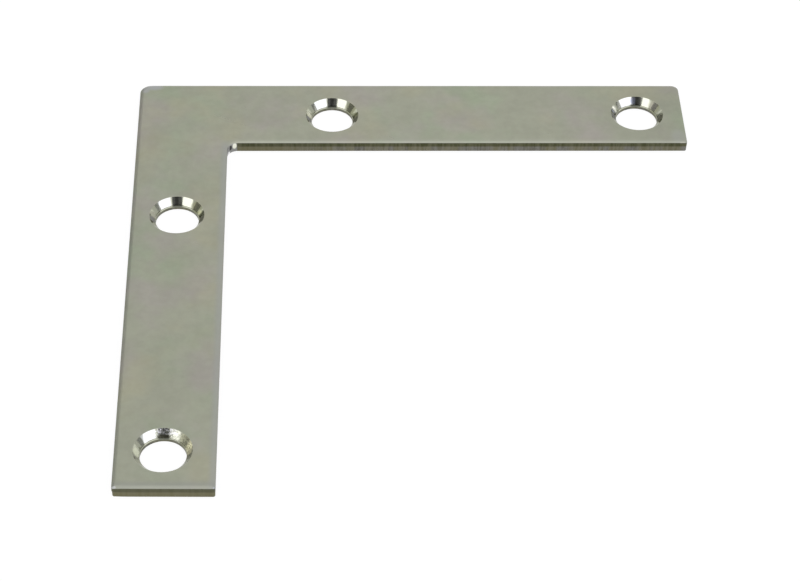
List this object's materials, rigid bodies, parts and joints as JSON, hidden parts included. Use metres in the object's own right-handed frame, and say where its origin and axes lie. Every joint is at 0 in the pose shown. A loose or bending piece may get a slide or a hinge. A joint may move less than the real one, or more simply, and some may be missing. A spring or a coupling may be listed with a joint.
{
  "type": "flat corner brace",
  "caption": "Flat L-shaped corner brace punched from zinc-plated sheet steel, with countersunk screw holes in line along both arms.",
  "frame": {"origin": "on the back face, where the middle lines of the two arms cross", "axes": "+X along one arm, -Y along the other, +Z out of the countersunk face"},
  "size_m": [0.0762, 0.0762, 0.0016],
  "materials": {
    "zinc_plated_steel": "satin zinc plate, faintly iridescent"
  },
  "bodies": {
    "root": {"corner_brace": "zinc_plated_steel"}
  },
  "joints": []
}
